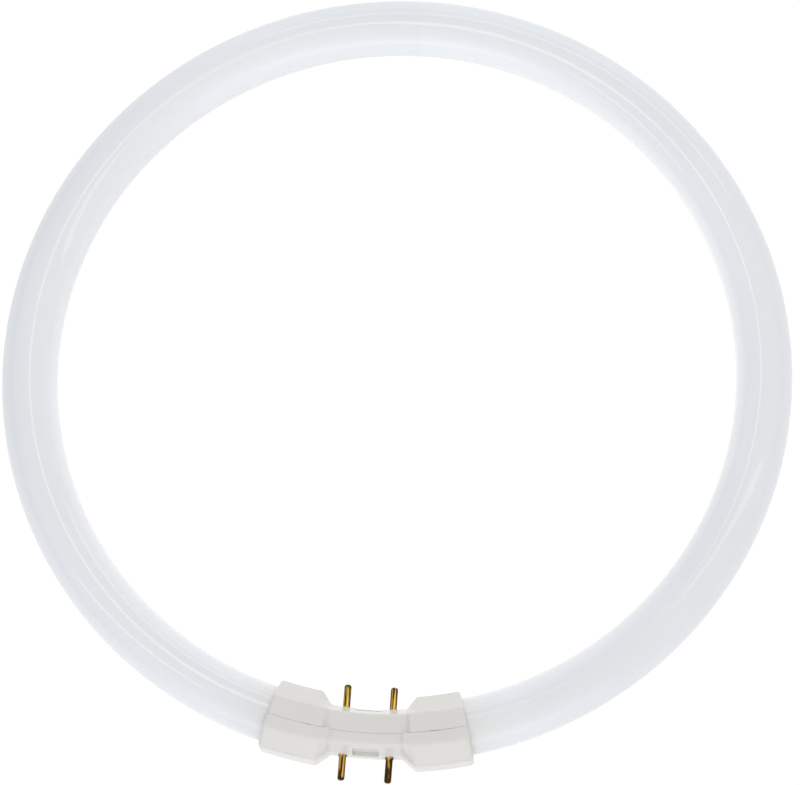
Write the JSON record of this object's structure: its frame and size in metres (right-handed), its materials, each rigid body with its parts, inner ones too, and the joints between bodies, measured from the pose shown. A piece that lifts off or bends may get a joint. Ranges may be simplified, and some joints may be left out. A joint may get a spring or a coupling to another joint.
{
  "type": "circular fluorescent tube",
  "caption": "Ring-shaped fluorescent lamp: a white glass tube bent into a circle, its ends joined by a moulded waisted base with contact pins on the inner and outer side.",
  "frame": {"origin": "centre of the ring, at half the thickness of the tube", "axes": "+Z along the axis of the ring, up when the lamp lies flat; +Y from the base, through the centre, to the far side of the ring; +X to the right with the base nearest"},
  "size_m": [0.225, 0.2307, 0.019],
  "materials": {
    "coated_glass": "clear gloss glass over an opaque white coat on its inside",
    "base_plastic": "white moulding, semi-gloss",
    "pin_brass": "turned and polished",
    "lead_wire": "drawn nickel-plated wire"
  },
  "bodies": {
    "root": {"glass_tube": "coated_glass", "base_inner_shell": "base_plastic", "base_outer_shell": "base_plastic", "contact_pin_inner_left": "pin_brass", "contact_pin_inner_right": "pin_brass", "contact_pin_outer_left": "pin_brass", "contact_pin_outer_right": "pin_brass", "lead_wire_inner_left": "lead_wire", "lead_wire_inner_right": "lead_wire", "lead_wire_outer_left": "lead_wire", "lead_wire_outer_right": "lead_wire"}
  },
  "joints": []
}
